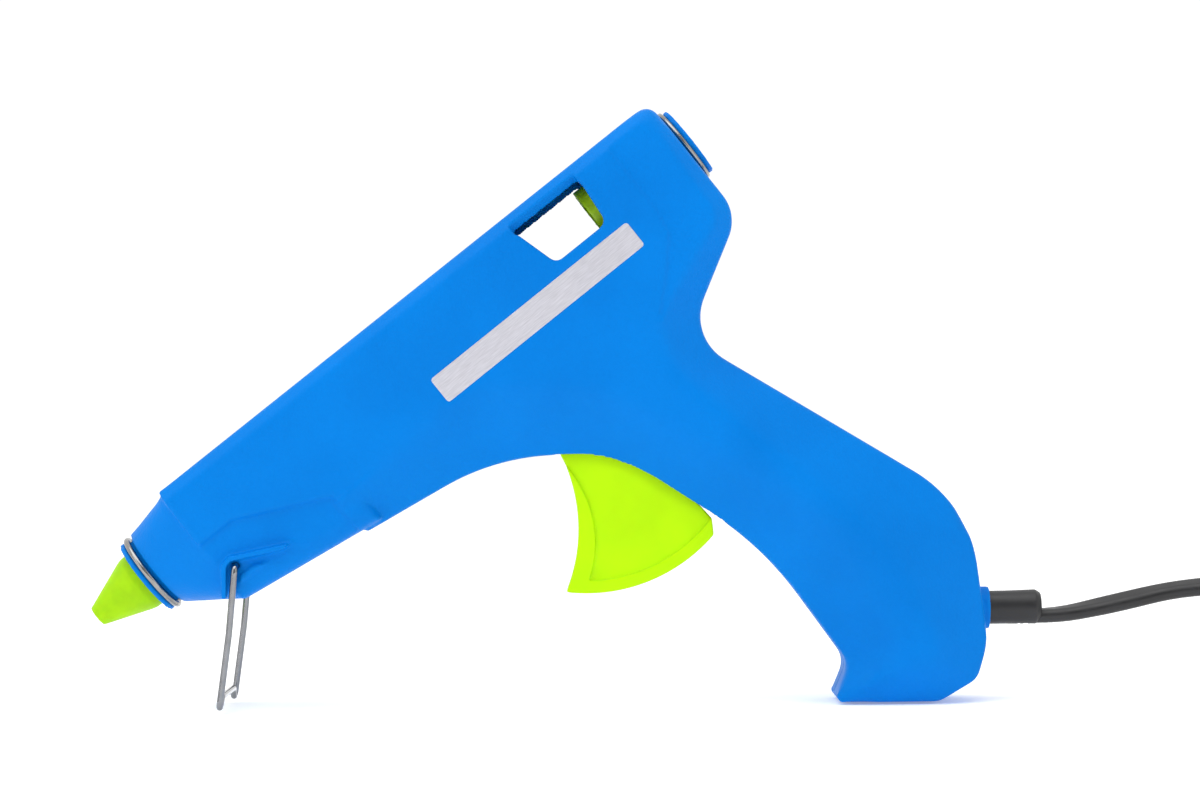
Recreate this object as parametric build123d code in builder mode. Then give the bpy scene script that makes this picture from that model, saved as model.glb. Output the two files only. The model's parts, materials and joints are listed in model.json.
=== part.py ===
"""Hot-melt glue gun for 11 mm sticks, as separate pieces.

Units are millimetres. The origin is the middle of the flat handle base, +Z is up, the nozzle points
towards -X and the two housing shells part on the plane Y = 0. The left shell is the -Y one.
"""

import math
import os

from build123d import *

os.makedirs("parts", exist_ok=True)

# ---------------------------------------------------------------- driving dimensions
# Barrel: u runs along its axis from the nozzle tip, v stands square to it in the side plane.
barrel_tilt = 38.1          # slope of the barrel, nozzle down
tip_x = -177.1              # nozzle tip
tip_z = 20.55
barrel_top = 12.5           # v of the housing's top line
nose_face = 17.3            # u of the housing's front face
rear_face = 168.4           # u of the housing's rear face

half_width = 15.0           # half the width of the housing
wall = 2.1                  # top, bottom and end walls of the shells
side_wall = 2.4             # side walls of the shells
nose_recess = 0.8           # step down from the main housing to the front section

stick_diameter = 11.2
stick_clearance = 0.4       # radial, in the inlet guide
melt_clearance = 0.25       # radial, where the stick enters the melt chamber
chamber_wall = 2.35
carriage_wall = 1.6
guide_wall = 1.2
guide_flange_height = 1.4
neck_wall = 0.7             # rear neck of the shells, around the inlet guide
flange_height = 0.6         # rear flange above its neck

collar_radius = 8.3         # front neck of the clamped shells
front_flange_radius = 9.2
flange_thickness = 1.15
ring_wire = 1.45            # wire of the steel split rings
ring_seat_gap = 0.03

pivot_x = -66.6             # trigger pivot
pivot_z = 62.1
trigger_radius = 37.3       # outer arc of the trigger about its pivot
trigger_half_width = 7.6
trigger_side_relief = 0.8
trigger_rim = 2.8
trigger_travel = 24.0       # degrees
pin_level = -12.0           # v of the pin that drives the carriage
pivot_pin_diameter = 4.0
drive_pin_diameter = 3.0
pin_clearance = 0.05
slot_side_clearance = 0.5
trigger_gap = 0.6           # radial, between the trigger's rim and the shells
hub_room_radius = 9.4       # room in the shells around the trigger's hub

window_front = rear_face - 42.1     # u of the window's ends
window_rear = rear_face - 23.4
window_bottom = -3.2
window_top = 7.0

label_length = 55.6
label_width = 6.5
label_thickness = 0.4
label_front = 92.2          # u of its front end
label_centre = -9.1         # v of its middle line

screw_diameter = 2.9
screw_head_diameter = 5.6
screw_length = 14.0
screw_boss_radius = 4.4
screw_clearance = 0.1

stand_wire = 1.5
stand_half_span = half_width + 1.0      # Y of the legs' middle line
stand_pivot_x = -144.4
stand_pivot_z = 32.3
stand_clearance = 0.08
stand_rib_height = 2.2      # rib that the deployed leg leans on
stand_bump_height = 0.75    # bump that the leg snaps over

boot_z = 20.2               # middle of the strain relief
boot_diameter = 7.5
boot_end_x = 35.0
boot_flange_radius = 4.8
boot_flange = (17.0, 19.0)  # X of the flange that holds the strain relief in the shells
cord_collar_radius = 4.75
cord_collar_end_x = 23.4

cord_diameter = 3.9
cord_width = 5.2            # the flat cord in the hank, standing on its edge
cord_thickness = 3.4
hank_layers = 3
hank_layer_step = cord_width + 0.1
hank_turn_step = cord_thickness + 0.1       # from the inner turn to the outer one
hank_inner_radius = 17.0    # of the inner turn's folds
hank_straight = 45.0        # straight run between the folds
hank_start_x = 104.2        # middle of the fold beside the gun
hank_y = 5.0                # middle line of the hank

# ---------------------------------------------------------------- frames and helpers
stick_bore_radius = stick_diameter / 2 + stick_clearance
guide_radius = stick_bore_radius + guide_wall
rear_neck_radius = guide_radius + neck_wall
rear_flange_radius = rear_neck_radius + flange_height
tilt_cos = math.cos(math.radians(barrel_tilt))
tilt_sin = math.sin(math.radians(barrel_tilt))
SIDE = Plane.XZ             # local x is X, local y is Z, normal is -Y
BARREL = Plane(origin=(tip_x, 0, tip_z), x_dir=(tilt_cos, 0, tilt_sin), z_dir=(0, -1, 0))
BARREL_AXIS = Axis(origin=(tip_x, 0, tip_z), direction=(tilt_cos, 0, tilt_sin))


def at(u, v):
    """Point of the side plane (X, Z) at u along the barrel and v above its axis."""
    return (tip_x + u * tilt_cos - v * tilt_sin, tip_z + u * tilt_sin + v * tilt_cos)


def across(u):
    """Plane square to the barrel at u, with local x along Y and local y along v."""
    x, z = at(u, 0)
    return Plane(origin=(x, 0, z), x_dir=(0, 1, 0), z_dir=(tilt_cos, 0, tilt_sin))


def fitted_radii(points, radii):
    """The radii, each limited to 0.45 of its shorter run over the tangent of half its turn."""
    limited = []
    count = len(points)
    for index, radius in enumerate(radii):
        here = Vector(*points[index])
        back = Vector(*points[index - 1]) - here
        ahead = Vector(*points[(index + 1) % count]) - here
        half_turn = math.radians(180 - back.get_angle(ahead)) / 2
        room = 0.45 * min(back.length, ahead.length) / max(math.tan(half_turn), 0.001)
        limited.append(max(0.05, min(radius, room)))
    return limited


# ---------------------------------------------------------------- housing outline
# Each corner: silhouette point, its radius, crease point, its radius, depth of the bevel below the side.
# The crease bounds the flat side, and the bevel falls from it to the silhouette.
CORNERS = [
    (at(20, barrel_top), 0.5, at(22.6, barrel_top - 2.6), 0.5, 2.6),
    (at(rear_face, barrel_top - 0.6), 3.0, at(rear_face - 3.0, barrel_top - 3.4), 1.2, 3.0),
    (at(rear_face, -19.9), 9.0, at(rear_face - 4.4, -17.4), 5.0, 4.0),
    ((-43.7, 81.6), 11.0, (-54.0, 79.9), 15.0, 7.0),
    ((18.4, 43.9), 46.0, (-2.0, 36.8), 80.0, 7.0),
    ((22.3, 13.0), 14.0, (10.5, 14.0), 8.0, 6.6),
    ((19.8, 4.9), 4.5, (10.0, 9.0), 3.0, 5.4),
    ((11.2, 0.0), 3.0, (7.5, 7.6), 3.0, 4.6),
    ((-12.5, 0.0), 1.6, (1.5, 7.8), 3.0, 4.6),
    ((-8.8, 8.6), 4.5, (4.0, 11.0), 3.0, 6.0),
    ((-27.5, 34.8), 95.0, (-12.4, 40.7), 80.0, 6.4),
    ((-60.3, 56.5), 52.0, (-62.3, 69.2), 38.0, 6.4),
    ((-87.7, 55.0), 55.0, (-91.1, 70.7), 18.0, 6.4),
    ((-130.0, 31.1), 1.0, (-132.7, 35.9), 1.0, 5.5),
    (at(20, -12), 0.5, at(22.6, -10), 0.5, 2.6),
]
silhouette = [corner[0] for corner in CORNERS]
silhouette_radii = fitted_radii(silhouette, [corner[1] for corner in CORNERS])
crease = [corner[2] for corner in CORNERS]
crease_radii = fitted_radii(crease, [corner[3] for corner in CORNERS])


def foot_of_bevel(corner):
    """Where a corner's bevel, carried on straight, would meet the plane Y = 0."""
    (outer_x, outer_z), _, (inner_x, inner_z), _, depth = corner
    reach = half_width / depth
    return (inner_x + (outer_x - inner_x) * reach, inner_z + (outer_z - inner_z) * reach)


def foot_radius(corner):
    reach = half_width / corner[4]
    return max(0.3, corner[3] + (corner[1] - corner[3]) * reach)


bevel_foot = [foot_of_bevel(corner) for corner in CORNERS]
bevel_foot_radii = fitted_radii(bevel_foot, [foot_radius(corner) for corner in CORNERS])

# Boundary of the recessed front section, as (u, v).
recess_line = [(29.5, 16), (29.4, -2.4), (38.8, -2.5), (59.3, -12.4), (60.4, -30), (0, -30), (0, 16)]

# ---------------------------------------------------------------- housing, outer form of the left half
with BuildPart() as bevel_form:
    with BuildSketch(SIDE):
        with BuildLine():
            FilletPolyline(*bevel_foot, radius=bevel_foot_radii, close=True)
        make_face()
    with BuildSketch(SIDE.offset(half_width)):
        with BuildLine():
            FilletPolyline(*crease, radius=crease_radii, close=True)
        make_face()
    loft(ruled=True)

with BuildPart() as main_form:
    with BuildSketch(SIDE):
        with BuildLine():
            FilletPolyline(*silhouette, radius=silhouette_radii, close=True)
        make_face()
    extrude(amount=half_width)
    add(bevel_form.part, mode=Mode.INTERSECT)


# ---------------------------------------------------------------- housing, front section, nose and collars
front_half_width = half_width - nose_recess
front_top = barrel_top - nose_recess
nose_length_end = 29.55     # u where the nose has grown to the full front section
front_bottom = -17.9        # v of the underside there
front_slope = -0.149        # fall of the underside per millimetre of u
front_top_end = 34.0        # u where the front section's upper edge turns down
front_tongue = (66.0, -8.0)         # its rearmost point, as (u, v), inside the main housing
front_end = 64.5
nose_diameter = 19.2
nose_step = 0.12            # the nose stands this far inside the front section where they meet
front_edge_radius = 4.0


def front_underside(u):
    return front_bottom + front_slope * (u - nose_length_end)


def barrel_u(point):
    """Distance of a point along the barrel from the nozzle tip."""
    return (point.X - tip_x) * tilt_cos + (point.Z - tip_z) * tilt_sin


with BuildPart() as front_form:
    with BuildSketch(BARREL):
        with BuildLine():
            Polyline(
                (nose_length_end, front_top),
                (front_top_end, front_top),
                front_tongue,
                (front_end, front_underside(front_end)),
                (nose_length_end, front_bottom),
                close=True,
            )
        make_face()
    extrude(amount=front_half_width)
    side_edges = front_form.faces().sort_by(Axis.Y)[0].edges()
    fillet(side_edges.filter_by(lambda edge: barrel_u(edge.center()) > nose_length_end + 1), front_edge_radius)

with BuildPart() as nose_form:
    with BuildSketch(across(nose_face)):
        RectangleRounded(nose_diameter, nose_diameter, nose_diameter / 2 - 0.01)
    with BuildSketch(across(nose_length_end)):
        with Locations((0, (front_top + front_bottom) / 2)):
            nose_width = 2 * (front_half_width - nose_step)
            nose_height = front_top - front_bottom - 2 * nose_step
            RectangleRounded(nose_width, nose_height, front_edge_radius)
    loft(ruled=True)
    split(bisect_by=Plane.XZ, keep=Keep.TOP)

front_flange_start = 13.9
front_flange_end = front_flange_start + flange_thickness
rear_flange_end = rear_face + 2.5
rear_flange_start = rear_flange_end - flange_thickness

with BuildPart() as collar_form:
    with BuildSketch(BARREL):
        with BuildLine():
            Polyline(
                (front_flange_start, 0),
                (front_flange_start, front_flange_radius),
                (front_flange_end, front_flange_radius),
                (front_flange_end, collar_radius),
                (nose_face + 1, collar_radius),
                (nose_face + 1, 0),
                close=True,
            )
        make_face()
        with BuildLine():
            Polyline(
                (rear_face - 1, 0),
                (rear_face - 1, rear_neck_radius),
                (rear_flange_start, rear_neck_radius),
                (rear_flange_start, rear_flange_radius),
                (rear_flange_end, rear_flange_radius),
                (rear_flange_end, 0),
                close=True,
            )
        make_face()
    revolve(axis=BARREL_AXIS)
    split(bisect_by=Plane.XZ, keep=Keep.TOP)

cap_step = 0.45             # the rear cap stands this far below the rest
cap_corners = [(-13.9, 20), (-13.9, -7.5), (-15.0, -13.5), (-20.9, -20), (-28.4, -27), (22, -40), (22, 20)]
cap_line = [(rear_face + behind, v) for behind, v in cap_corners]

with BuildPart() as outer_form:
    add(main_form.part)
    with BuildSketch(BARREL):
        Polygon(*recess_line, align=None)
    extrude(amount=half_width + 1, mode=Mode.SUBTRACT)
    with BuildSketch(BARREL.offset(half_width - cap_step)):
        Polygon(*cap_line, align=None)
    extrude(amount=cap_step + 1, mode=Mode.SUBTRACT)
    add(front_form.part)
    add(nose_form.part)
    add(collar_form.part)
    with BuildSketch(Plane.YZ.offset(19)):
        with Locations((0, boot_z)):
            Circle(cord_collar_radius)
    extrude(amount=cord_collar_end_x - 19)
    split(bisect_by=Plane.XZ, keep=Keep.TOP)

# ---------------------------------------------------------------- housing, hollow of the left half
inner_half_width = half_width - side_wall
nose_hollow_start = 22.5    # u of the hollow inside the nose
hollow_start = 31.0         # u of the full hollow behind it
front_hollow_end = front_end - 2.5

with BuildPart() as main_hollow:
    with BuildSketch(SIDE):
        with BuildLine():
            FilletPolyline(*silhouette, radius=silhouette_radii, close=True)
        make_face()
        offset(amount=-wall)
    extrude(amount=inner_half_width)
    add(bevel_form.part.moved(Location((0, side_wall, 0))), mode=Mode.INTERSECT)
    with BuildSketch(BARREL):
        Polygon(*recess_line, align=None)
    extrude(amount=half_width, mode=Mode.SUBTRACT)

with BuildPart() as hollow:
    add(main_hollow.part)
    with BuildSketch(BARREL):
        with BuildLine():
            Polyline(
                (hollow_start, front_top - wall),
                (front_top_end + 2, front_top - wall),
                (front_hollow_end, front_tongue[1] - 2),
                (front_hollow_end, front_underside(front_hollow_end) + wall),
                (hollow_start, front_underside(hollow_start) + wall),
                close=True,
            )
        make_face()
    extrude(amount=front_half_width - side_wall)
    with BuildSketch(across(nose_hollow_start)):
        with Locations((0, -0.4)):
            RectangleRounded(nose_diameter - 2.6, nose_diameter - 1.7, 5)
    with BuildSketch(across(hollow_start + 0.5)):
        with Locations((0, (front_top + front_bottom) / 2)):
            RectangleRounded(2 * (front_half_width - side_wall), front_top - front_bottom - 2 * wall, 3)
    loft(ruled=True)
    split(bisect_by=Plane.XZ, keep=Keep.TOP)


# ---------------------------------------------------------------- shared places
chamber_bore_radius = stick_diameter / 2 + melt_clearance
chamber_radius = chamber_bore_radius + chamber_wall
chamber_seat = 0.05
carriage_radius = stick_bore_radius + carriage_wall
guide_seat = 0.02
guide_flange_radius = guide_radius + guide_flange_height
guide_flange = (rear_face - 7.9, rear_face - 6.4)       # u of the guide's locating flange

pivot_u = (pivot_x - tip_x) * tilt_cos + (pivot_z - tip_z) * tilt_sin
pivot_v = -(pivot_x - tip_x) * tilt_sin + (pivot_z - tip_z) * tilt_cos
lever_height = pin_level - pivot_v
half_swing = math.radians(trigger_travel / 2)
pin_u = pivot_u + lever_height * math.tan(half_swing)
carriage_travel = 2 * lever_height * math.tan(half_swing)

screw_places = [at(47, -17), at(92, -24), at(rear_face - 11.4, -13), (-36, 68), (4, 36), (-1, 8.5)]
screw_seat = 6.8            # Y of the underside of the screw heads
screw_head_height = 2.2
screw_well_radius = screw_head_diameter / 2 + 0.1

slot_half_width = trigger_half_width + slot_side_clearance
pivot_boss_radius = 4.6
pivot_boss_start = slot_half_width + 0.1
pivot_pin_half_length = slot_half_width + 1.7           # ends blind under the sloping side of the shells
rail_gap = 4.2              # height of the groove that guides the carriage
rail_thickness = 1.4
rail_reach = carriage_radius + 2.0          # |Y| where the rails start
rail_start = 90.0
rail_end = 125.0

clamp_x = 9.5
clamp_height = 16.0
clamp_length = 6.0
clamp_screw_offset = 5.4
clamp_screw_radius = 1.2
cord_z_inside = 19.4
spring_post = (-79.8, 62.8)
spring_post_radius = 1.8

# ---------------------------------------------------------------- cord, its hank and its plug
cord_points = [
    (5.0, 0, 19.55),
    (20.0, 0, 19.25),
    (36.5, 0, 17.7),
    (51.0, 0, 20.6),
    (67.0, -0.8, 24.3),
    (83.0, -4.6, 24.8),
    (98.0, -9.2, 20.2),
    (112.0, -12.0, 14.4),
]


def corner_radii(points):
    """For each inner corner 0.45 of the shorter run over the tangent of half the turn."""
    radii = []
    for before, corner, after in zip(points, points[1:], points[2:]):
        incoming = Vector(*corner) - Vector(*before)
        outgoing = Vector(*after) - Vector(*corner)
        half_turn = math.radians(incoming.get_angle(outgoing)) / 2
        radii.append(0.45 * min(incoming.length, outgoing.length) / math.tan(half_turn))
    return radii


cord_radii = corner_radii(cord_points)
tail_points = [
    (162.5, -9.2, 2.7),
    (172.0, -2.4, 3.4),
    (183.0, 2.8, 5.4),
    (193.0, 4.0, 6.85),
]
tail_radii = corner_radii(tail_points)
print("cord radii", [round(radius, 1) for radius in cord_radii + tail_radii])


def tube(points, radii):
    """A round tube along straight runs joined by tangent arcs."""
    with BuildPart() as made:
        with BuildLine() as path:
            FilletPolyline(*points, radius=radii)
        with BuildSketch(Plane(origin=path.line @ 0, z_dir=path.line % 0)):
            Circle(cord_diameter / 2)
        sweep(path=path.line)
    length = path.wires()[0].length
    section = math.pi * cord_diameter**2 / 4
    print("tube length", round(length, 1), "volume over section times length",
          round(made.part.volume / (section * length), 4))
    return made.part


with BuildPart() as cord:
    add(tube(cord_points, cord_radii))
cord.part.label = "cord"
export_step(cord.part, "parts/cord.step")

with BuildPart() as cord_tail:
    add(tube(tail_points, tail_radii))
cord_tail.part.label = "cord_tail"
export_step(cord_tail.part, "parts/cord_tail.step")

hank_height = hank_layers * hank_layer_step
hank_hole_radius = hank_inner_radius - cord_thickness / 2
hank_outer_radius = hank_inner_radius + hank_turn_step + cord_thickness / 2

with BuildPart() as cord_hank:
    with BuildSketch():
        with Locations((hank_start_x + hank_straight / 2, hank_y)):
            SlotCenterToCenter(hank_straight, 2 * hank_outer_radius)
            SlotCenterToCenter(hank_straight, 2 * hank_hole_radius, mode=Mode.SUBTRACT)
    extrude(amount=hank_height)
    fillet(cord_hank.faces().filter_by(Axis.Z).edges(), 1.2)
cord_hank.part.label = "cord_hank"
export_step(cord_hank.part, "parts/cord_hank.step")

plug_width = 35.3
plug_thickness = 13.7
plug_boot_length = 18.0
plug_length = 36.0          # behind the pins, without the boot
plug_shoulder = 20.0        # length over which the plug widens
plug_pin_spacing = 18.6
plug_pin_length = 19.0
plug_pin_diameter = 4.0
plug_y = tail_points[-1][1]
plug_z = plug_thickness / 2
plug_boot_start = tail_points[-1][0] - 8
plug_boot_end = plug_boot_start + plug_boot_length
plug_face = plug_boot_end + plug_length


def plug_plane(x):
    """Plane square to the plug's length, facing +X."""
    return Plane(origin=(x, plug_y, plug_z), x_dir=(0, 1, 0), z_dir=(1, 0, 0))


with BuildPart() as plug_body:
    with BuildSketch(plug_plane(plug_boot_start)):
        Circle(2.9)
    with BuildSketch(plug_plane(plug_boot_end)):
        Circle(4.4)
    loft()
    with BuildSketch(plug_plane(plug_boot_end)):
        RectangleRounded(14.0, 11.0, 4.0)
    with BuildSketch(plug_plane(plug_boot_end + plug_shoulder)):
        RectangleRounded(plug_width, plug_thickness, 5.0)
    loft()
    with BuildSketch(plug_plane(plug_boot_end + plug_shoulder)):
        RectangleRounded(plug_width, plug_thickness, 5.0)
    extrude(amount=plug_length - plug_shoulder)
plug_body.part.label = "plug_body"
export_step(plug_body.part, "parts/plug_body.step")

with BuildPart() as plug_pins:
    with BuildSketch(plug_plane(plug_face)):
        with GridLocations(plug_pin_spacing, 1, 2, 1):
            Circle(plug_pin_diameter / 2)
    extrude(amount=plug_pin_length)
    fillet(plug_pins.faces().sort_by(Axis.X)[-2:].edges(), 1.2)
plug_pins.part.label = "plug_pins"
export_step(plug_pins.part, "parts/plug_pins.step")

# ---------------------------------------------------------------- housing shells
window_corners = [
    (window_front + 1.0, window_top),
    (window_rear + 0.3, window_top),
    (window_rear - 0.7, window_bottom),
    (window_front + 3.8, window_bottom),
]
wiring_gap = 20.0           # width of the opening that lets the leads through the rear saddle
saddle_places = (30.0, 76.0)        # u of the ribs that carry the melt chamber
saddle_thickness = 1.6
guide_rib_thickness = 1.45
cord_rib_x = 15.2           # rib that closes the seat of the strain relief
cord_rib_hole_radius = 3.2


def saddle(u, radius, thickness, gap=0.0):
    """A cross rib with a half-round seat around the barrel axis, open below it over the gap."""
    with BuildPart() as rib:
        with BuildSketch(across(u)):
            Rectangle(2 * half_width, 80)
            Circle(radius, mode=Mode.SUBTRACT)
            if gap:
                with Locations((0, -radius)):
                    Rectangle(gap, 14, mode=Mode.SUBTRACT)
        extrude(amount=thickness)
    return rib.part


with BuildPart() as inner_works:
    add(saddle(saddle_places[0], chamber_radius + chamber_seat, saddle_thickness))
    add(saddle(saddle_places[1], chamber_radius + chamber_seat, saddle_thickness, wiring_gap))
    for start in (guide_flange[0] - guide_rib_thickness - 0.05, guide_flange[1] + 0.05):
        add(saddle(start, guide_radius + guide_seat, guide_rib_thickness))
    with BuildSketch(across(rail_start)):
        for direction in (1, -1):
            with Locations((-half_width, direction * (rail_gap + rail_thickness) / 2)):
                Rectangle(half_width - rail_reach, rail_thickness, align=(Align.MIN, Align.CENTER))
    extrude(amount=rail_end - rail_start)
    with BuildSketch(SIDE):
        for place in screw_places:
            with Locations(place):
                Circle(screw_boss_radius)
        with Locations(spring_post):
            Circle(spring_post_radius)
    extrude(amount=half_width)
    with BuildSketch(SIDE.offset(pivot_boss_start)):
        with Locations((pivot_x, pivot_z)):
            Circle(pivot_boss_radius)
    extrude(amount=half_width - pivot_boss_start)
    with BuildSketch(Plane.YZ.offset(cord_rib_x)):
        with Locations((0, boot_z)):
            Rectangle(2 * half_width, 60)
            Circle(cord_rib_hole_radius, mode=Mode.SUBTRACT)
    extrude(amount=saddle_thickness)
    add(outer_form.part, mode=Mode.INTERSECT)

# The wire stand's stop: an L-shaped rib around the pivot hole, and the bump that the leg snaps over.
stand_rib = [
    (-147.55, 25.0),
    (-147.55, 32.4),
    (-145.8, 34.4),
    (-131.9, 37.3),
    (-133.6, 35.8),
    (-145.4, 33.3),
    (-146.35, 32.0),
    (-146.35, 25.0),
]
stand_bump = [(-143.6, 30.2), (-140.6, 32.6), (-136.5, 33.4), (-139.9, 30.7), (-143.9, 27.8)]

nose_bore_radius = 7.0
label_pocket = 0.5
label_gap = 0.05            # all round, between the label and its pocket
boot_flange_gap = 0.1

with BuildPart() as half_shell:
    add(outer_form.part)
    add(hollow.part, mode=Mode.SUBTRACT)
    add(inner_works.part)
    with BuildSketch(SIDE.offset(front_half_width - 1)):
        Polygon(*stand_rib, align=None)
    extrude(amount=1 + stand_rib_height)
    with BuildSketch(SIDE.offset(front_half_width - 1)):
        Polygon(*stand_bump, align=None)
    extrude(amount=1 + stand_bump_height, taper=12)
    # nose, inlet and strain relief openings
    with BuildSketch(across(nose_face - 5)):
        Circle(nose_bore_radius)
    extrude(amount=11, mode=Mode.SUBTRACT)
    with BuildSketch(across(rear_face - 5)):
        Circle(guide_radius + guide_seat)
    extrude(amount=9, mode=Mode.SUBTRACT)
    with BuildSketch(Plane.YZ.offset(boot_flange[0])):
        with Locations((0, boot_z)):
            Circle(boot_diameter / 2)
    extrude(amount=8, mode=Mode.SUBTRACT)
    with BuildSketch(Plane.YZ.offset(boot_flange[0] - boot_flange_gap)):
        with Locations((0, boot_z)):
            Circle(boot_flange_radius + boot_flange_gap)
    extrude(amount=boot_flange[1] - boot_flange[0] + 2 * boot_flange_gap, mode=Mode.SUBTRACT)
    # trigger slot
    with BuildSketch(SIDE):
        with Locations((pivot_x, pivot_z)):
            Circle(trigger_radius + trigger_gap)
            Polygon((0, 0), (-21, -80), (80, -80), (80, -12), align=None, mode=Mode.INTERSECT)
            Circle(hub_room_radius)
    extrude(amount=slot_half_width, mode=Mode.SUBTRACT)
    # pivot pin, stand hole and stick window
    with BuildSketch(SIDE):
        with Locations((pivot_x, pivot_z)):
            Circle(pivot_pin_diameter / 2)
    extrude(amount=pivot_pin_half_length, mode=Mode.SUBTRACT)
    with BuildSketch(SIDE.offset(inner_half_width - 4)):
        with Locations((stand_pivot_x, stand_pivot_z)):
            Circle(stand_wire / 2 + stand_clearance)
    extrude(amount=8, mode=Mode.SUBTRACT)
    with BuildSketch(BARREL.offset(rail_reach)) as window:
        Polygon(*window_corners, align=None)
        fillet(window.vertices().sort_by(Axis.Y)[:2], 2.0)
    extrude(amount=half_width, mode=Mode.SUBTRACT)
    with BuildSketch(across(window_front + 0.5)):
        Polygon(
            (-inner_half_width + 0.3, window_top - 0.1),
            (-half_width - 0.4, window_top - 0.1),
            (-half_width - 0.4, barrel_top - 1.2),
            (-inner_half_width + 0.3, window_top + 0.4),
            align=None,
        )
    extrude(amount=window_rear - window_front - 0.4, mode=Mode.SUBTRACT)
    # label pocket
    with BuildSketch(BARREL.offset(half_width - label_pocket)):
        with Locations((label_front + label_length / 2, label_centre)):
            RectangleRounded(label_length + 2 * label_gap, label_width + 2 * label_gap, 0.8)
    extrude(amount=label_pocket + 1, mode=Mode.SUBTRACT)

with BuildPart() as clamp_seat:
    with BuildSketch(SIDE.offset(cord_diameter / 2)):
        with Locations((clamp_x, cord_z_inside)):
            Rectangle(clamp_length, clamp_height)
    extrude(amount=half_width)
    add(outer_form.part, mode=Mode.INTERSECT)

with BuildPart() as left_shell:
    add(half_shell.part)
    add(clamp_seat.part)
    with BuildSketch(SIDE.offset(cord_diameter / 2)):
        with Locations((clamp_x, cord_z_inside)):
            with GridLocations(1, 2 * clamp_screw_offset, 1, 2):
                Circle(clamp_screw_radius)
    extrude(amount=6, mode=Mode.SUBTRACT)
    with BuildSketch(SIDE):
        for place in screw_places:
            with Locations(place):
                Circle(screw_diameter / 2 + 0.03)
    extrude(amount=screw_length - screw_seat + 0.6, mode=Mode.SUBTRACT)
left_shell.part.label = "left_shell"
export_step(left_shell.part, "parts/left_shell.step")

with BuildPart() as right_shell:
    add(mirror(half_shell.part, about=Plane.XZ))
    with BuildSketch(SIDE.offset(-screw_seat)):
        for place in screw_places:
            with Locations(place):
                Circle(screw_well_radius)
    extrude(amount=-half_width, mode=Mode.SUBTRACT)
    with BuildSketch(SIDE):
        for place in screw_places:
            with Locations(place):
                Circle(screw_diameter / 2 + screw_clearance)
    extrude(amount=-screw_seat, mode=Mode.SUBTRACT)
right_shell.part.label = "right_shell"
export_step(right_shell.part, "parts/right_shell.step")

# ---------------------------------------------------------------- fasteners, rings and labels
with BuildPart() as housing_screws:
    with BuildSketch(SIDE.offset(-screw_seat)):
        for place in screw_places:
            with Locations(place):
                Circle(screw_diameter / 2)
    extrude(amount=screw_length)
    with BuildSketch(SIDE.offset(-screw_seat)):
        for place in screw_places:
            with Locations(place):
                Circle(screw_head_diameter / 2)
    extrude(amount=-screw_head_height)
    with BuildSketch(SIDE.offset(-screw_seat - screw_head_height)):
        for place in screw_places:
            with Locations(place):
                Rectangle(3.2, 0.8)
                Rectangle(0.8, 3.2)
    extrude(amount=1.2, mode=Mode.SUBTRACT)
housing_screws.part.label = "housing_screws"
export_step(housing_screws.part, "parts/housing_screws.step")


def split_ring(u, seat_radius, wire, gap_angle):
    """A sprung wire ring around the barrel, open by a small gap."""
    with BuildPart() as ring:
        with BuildSketch(BARREL):
            with Locations((u, seat_radius + wire / 2 + ring_seat_gap)):
                Circle(wire / 2)
        revolve(axis=BARREL_AXIS, revolution_arc=360 - gap_angle)
    return ring.part.rotate(BARREL_AXIS, 200)


front_ring_u = front_flange_end + ring_wire / 2 + 0.12
rear_ring_wire = 1.2
rear_ring_u = (rear_face + rear_flange_start) / 2

with BuildPart() as front_ring:
    add(split_ring(front_ring_u, collar_radius, ring_wire, 8))
front_ring.part.label = "front_ring"
export_step(front_ring.part, "parts/front_ring.step")

with BuildPart() as rear_ring:
    add(split_ring(rear_ring_u, rear_neck_radius, rear_ring_wire, 8))
rear_ring.part.label = "rear_ring"
export_step(rear_ring.part, "parts/rear_ring.step")

with BuildPart() as left_label:
    with BuildSketch(BARREL.offset(half_width - label_pocket)):
        with Locations((label_front + label_length / 2, label_centre)):
            RectangleRounded(label_length, label_width, 0.7)
    extrude(amount=label_thickness)
left_label.part.label = "left_label"
export_step(left_label.part, "parts/left_label.step")

with BuildPart() as right_label:
    add(mirror(left_label.part, about=Plane.XZ))
right_label.part.label = "right_label"
export_step(right_label.part, "parts/right_label.step")

# ---------------------------------------------------------------- nozzle, melt chamber and heater
thread_radius = 3.1
melt_bore_radius = 1.5
orifice_radius = 0.8
nozzle_start = 0.5
nozzle_radius = 5.2
nozzle_shoulder = 19.3      # u where the nozzle's body meets the chamber
chamber_start = 19.5
chamber_front_radius = 6.3
chamber_end = 86.0
chamber_neck_start = 80.5   # u where the neck for the inlet sleeve starts
chamber_neck_radius = chamber_bore_radius + 1.05
cover_radius = 6.75
pad_bottom = -chamber_radius - 1.0  # v of the flat pad that carries the heater
film_thickness = 0.2
electrode_thickness = 0.3
ptc_thickness = 2.0
clip_thickness = 0.6
clip_half_width = chamber_radius + 1.1
clip_start = 52.0           # u, behind the front screw boss
clip_length = 12.0


def turned(points):
    """A part turned about the barrel axis from (u, radius) points."""
    with BuildPart() as piece:
        with BuildSketch(BARREL):
            with BuildLine():
                Polyline(*points, close=True)
            make_face()
        revolve(axis=BARREL_AXIS)
    return piece.part


with BuildPart() as nozzle:
    add(turned([
        (nozzle_start, orifice_radius),
        (nozzle_start, orifice_radius + 0.6),
        (11.0, nozzle_radius),
        (nozzle_shoulder, nozzle_radius),
        (nozzle_shoulder, thread_radius),
        (26.0, thread_radius),
        (26.0, melt_bore_radius),
        (9.0, melt_bore_radius),
        (6.0, orifice_radius),
    ]))
nozzle.part.label = "nozzle"
export_step(nozzle.part, "parts/nozzle.step")

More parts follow.
